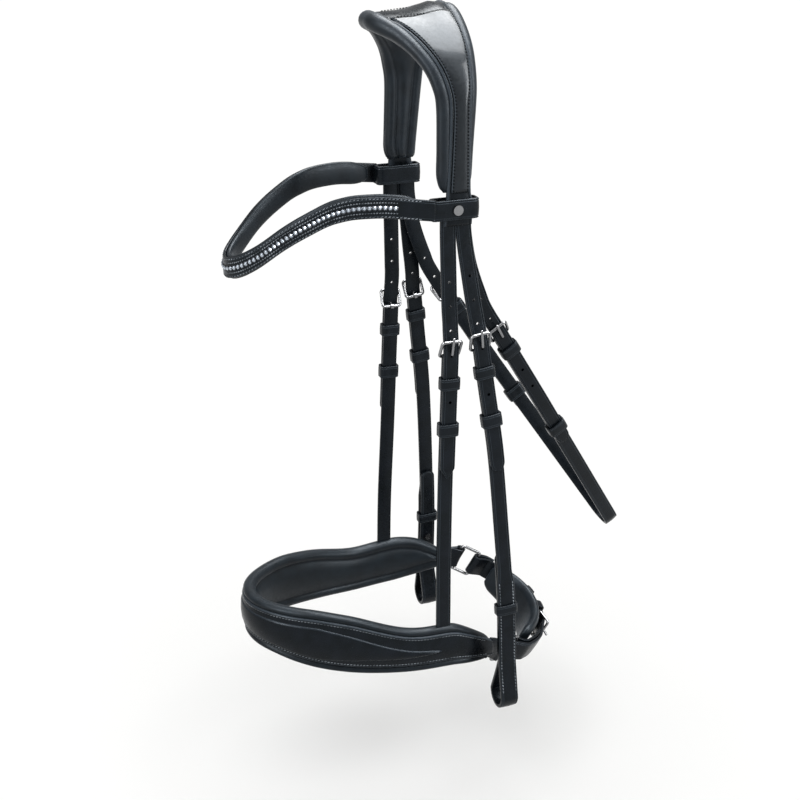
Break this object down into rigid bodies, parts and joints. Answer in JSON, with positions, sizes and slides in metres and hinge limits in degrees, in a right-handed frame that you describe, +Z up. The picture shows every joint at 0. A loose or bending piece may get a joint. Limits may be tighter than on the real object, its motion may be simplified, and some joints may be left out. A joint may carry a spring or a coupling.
{
  "type": "snaffle bridle",
  "caption": "Horse bridle with padded anatomical crown, swooping crystal browband, buckled cheekpieces with bit loops, crank noseband with chin closure and throatlatch.",
  "frame": {"origin": "poll seat: middle of the underside of the crown padding, where the bridle rests behind the ears", "axes": "+Z up, -Y the way the horse faces, +X the left side of the horse"},
  "size_m": [0.2098, 0.3674, 0.5876],
  "materials": {
    "bridle_leather": "satin black bridle leather, creased edges",
    "padding": "matte soft black lining leather",
    "gloss_leather": "high gloss black leather",
    "nickel": "polished nickel-plated steel",
    "crystal": "clear faceted crystal"
  },
  "bodies": {
    "headpiece": {"crown_pad": "padding", "crown_leather": "bridle_leather", "crown_inset_left": "gloss_leather", "crown_inset_right": "gloss_leather"},
    "browband": {"browband_leather": "bridle_leather", "browband_pad": "padding", "crystal_row": "crystal", "browband_stud_left": "nickel", "browband_stud_right": "nickel"},
    "noseband": {"noseband_leather": "bridle_leather", "noseband_pad": "padding", "noseband_billet_left": "bridle_leather", "noseband_buckle_left": "nickel", "noseband_keeper_left": "bridle_leather", "noseband_sling_left": "bridle_leather", "noseband_billet_right": "bridle_leather", "noseband_buckle_right": "nickel", "noseband_keeper_right": "bridle_leather", "noseband_sling_right": "bridle_leather"},
    "throatlatch": {"throat_strap": "bridle_leather", "throat_billet_left": "bridle_leather", "throat_buckle_left": "nickel", "throat_keeper_left": "bridle_leather", "throat_billet_right": "bridle_leather", "throat_buckle_right": "nickel", "throat_keeper_right": "bridle_leather"},
    "chin_closure": {"chin_pad": "padding", "chin_strap": "bridle_leather", "chin_billet": "bridle_leather", "chin_buckle": "nickel", "chin_keeper_near": "bridle_leather", "chin_keeper_far": "bridle_leather"},
    "cheekpiece_left": {"cheek_billet_left": "bridle_leather", "cheek_buckle_left": "nickel", "cheek_keeper_left": "bridle_leather", "cheek_strap_left": "bridle_leather", "cheek_return_keeper_left": "bridle_leather", "cheek_hook_stud_left": "nickel"},
    "noseband_tongue_left": {"noseband_tongue_left": "nickel"},
    "noseband_runner_left": {"noseband_runner_left": "bridle_leather"},
    "cheek_tongue_left": {"cheek_tongue_left": "nickel"},
    "cheek_runner_left": {"cheek_runner_left": "bridle_leather"},
    "throat_tongue_left": {"throat_tongue_left": "nickel"},
    "throat_runner_left": {"throat_runner_left": "bridle_leather"},
    "ring_left": {"noseband_ring_left": "nickel"},
    "cheekpiece_right": {"cheek_billet_right": "bridle_leather", "cheek_buckle_right": "nickel", "cheek_keeper_right": "bridle_leather", "cheek_strap_right": "bridle_leather", "cheek_return_keeper_right": "bridle_leather", "cheek_hook_stud_right": "nickel"},
    "noseband_tongue_right": {"noseband_tongue_right": "nickel"},
    "noseband_runner_right": {"noseband_runner_right": "bridle_leather"},
    "cheek_tongue_right": {"cheek_tongue_right": "nickel"},
    "cheek_runner_right": {"cheek_runner_right": "bridle_leather"},
    "throat_tongue_right": {"throat_tongue_right": "nickel"},
    "throat_runner_right": {"throat_runner_right": "bridle_leather"},
    "ring_right": {"noseband_ring_right": "nickel"},
    "chin_tongue": {"chin_tongue": "nickel"}
  },
  "joints": [
    {"name": "browband_slide", "type": "slide", "parent": "headpiece", "child": "browband", "axis": [0, 0, 1], "range_m": [0, 0.004]},
    {"name": "noseband_swing", "type": "hinge", "parent": "headpiece", "child": "noseband", "pos_m": [0, -0.0052, -0.1455], "axis": [1, 0, 0], "range_deg": [-8, 0]},
    {"name": "throatlatch_swing", "type": "hinge", "parent": "headpiece", "child": "throatlatch", "pos_m": [0, 0.0095, -0.1455], "axis": [1, 0, 0], "range_deg": [0, 8]},
    {"name": "cheekpiece_swing_left", "type": "hinge", "parent": "headpiece", "child": "cheekpiece_left", "pos_m": [0.063, 0.0082, -0.1455], "axis": [0, -1, 0], "range_deg": [0, 25]},
    {"name": "noseband_tongue_lift_left", "type": "hinge", "parent": "noseband", "child": "noseband_tongue_left", "pos_m": [0.06473, -0.00372, -0.245], "axis": [0, 0.9996, -0.0273], "range_deg": [0, 6]},
    {"name": "noseband_runner_slide_left", "type": "slide", "parent": "noseband", "child": "noseband_runner_left", "axis": [-0.0227, 0.0273, 0.9994], "range_m": [-0.025, 0.022]},
    {"name": "cheek_tongue_lift_left", "type": "hinge", "parent": "cheekpiece_left", "child": "cheek_tongue_left", "pos_m": [0.0705, 0.0208, -0.23999], "axis": [0, 0.9917, 0.1289], "range_deg": [0, 6]},
    {"name": "cheek_runner_slide_left", "type": "slide", "parent": "cheekpiece_left", "child": "cheek_runner_left", "axis": [-0.0889, -0.1284, 0.9877], "range_m": [-0.018, 0.022]},
    {"name": "throat_tongue_lift_left", "type": "hinge", "parent": "throatlatch", "child": "throat_tongue_left", "pos_m": [0.05454, 0.04618, -0.23801], "axis": [0, 0.8406, 0.5417], "range_deg": [0, 6]},
    {"name": "throat_runner_slide_left", "type": "slide", "parent": "throatlatch", "child": "throat_runner_left", "axis": [0.191, -0.5393, 0.8202], "range_m": [-0.008, 0.018]},
    {"name": "ring_turn_left", "type": "hinge", "parent": "noseband", "child": "ring_left", "pos_m": [0.06238, 0.04934, -0.53658], "axis": [0.2315, 0.3929, 0.8899], "range_deg": [-8.1, 8.1]},
    {"name": "cheekpiece_swing_right", "type": "hinge", "parent": "headpiece", "child": "cheekpiece_right", "pos_m": [-0.063, 0.0082, -0.1455], "axis": [0, 1, 0], "range_deg": [0, 25]},
    {"name": "noseband_tongue_lift_right", "type": "hinge", "parent": "noseband", "child": "noseband_tongue_right", "pos_m": [-0.06473, -0.00372, -0.245], "axis": [0, -0.9996, 0.0273], "range_deg": [0, 6]},
    {"name": "noseband_runner_slide_right", "type": "slide", "parent": "noseband", "child": "noseband_runner_right", "axis": [0.0227, 0.0273, 0.9994], "range_m": [-0.025, 0.022]},
    {"name": "cheek_tongue_lift_right", "type": "hinge", "parent": "cheekpiece_right", "child": "cheek_tongue_right", "pos_m": [-0.0705, 0.0208, -0.23999], "axis": [0, -0.9917, -0.1289], "range_deg": [0, 6]},
    {"name": "cheek_runner_slide_right", "type": "slide", "parent": "cheekpiece_right", "child": "cheek_runner_right", "axis": [0.0889, -0.1284, 0.9877], "range_m": [-0.018, 0.022]},
    {"name": "throat_tongue_lift_right", "type": "hinge", "parent": "throatlatch", "child": "throat_tongue_right", "pos_m": [-0.05454, 0.04618, -0.23801], "axis": [0, -0.8406, -0.5417], "range_deg": [0, 6]},
    {"name": "throat_runner_slide_right", "type": "slide", "parent": "throatlatch", "child": "throat_runner_right", "axis": [-0.191, -0.5393, 0.8202], "range_m": [-0.008, 0.018]},
    {"name": "ring_turn_right", "type": "hinge", "parent": "noseband", "child": "ring_right", "pos_m": [-0.06214, 0.06242, -0.50997], "axis": [0.2315, 0.3929, 0.8899], "range_deg": [-8, 8]},
    {"name": "chin_closure_turn", "type": "hinge", "parent": "ring_right", "child": "chin_closure", "pos_m": [-0.05565, 0.07808, -0.51857], "axis": [0.2315, 0.3929, 0.8899], "range_deg": [-9.2, 9.2]},
    {"name": "chin_tongue_lift", "type": "hinge", "parent": "chin_closure", "child": "chin_tongue", "pos_m": [0.01068, 0.11172, -0.55068], "axis": [0.2315, 0.3929, 0.8899], "range_deg": [0, 6]}
  ],
  "couplings": [
    {"joint": "ring_turn_left", "follows": "ring_turn_right", "ratio": 1},
    {"joint": "chin_closure_turn", "follows": "ring_turn_right", "ratio": -1.113}
  ]
}
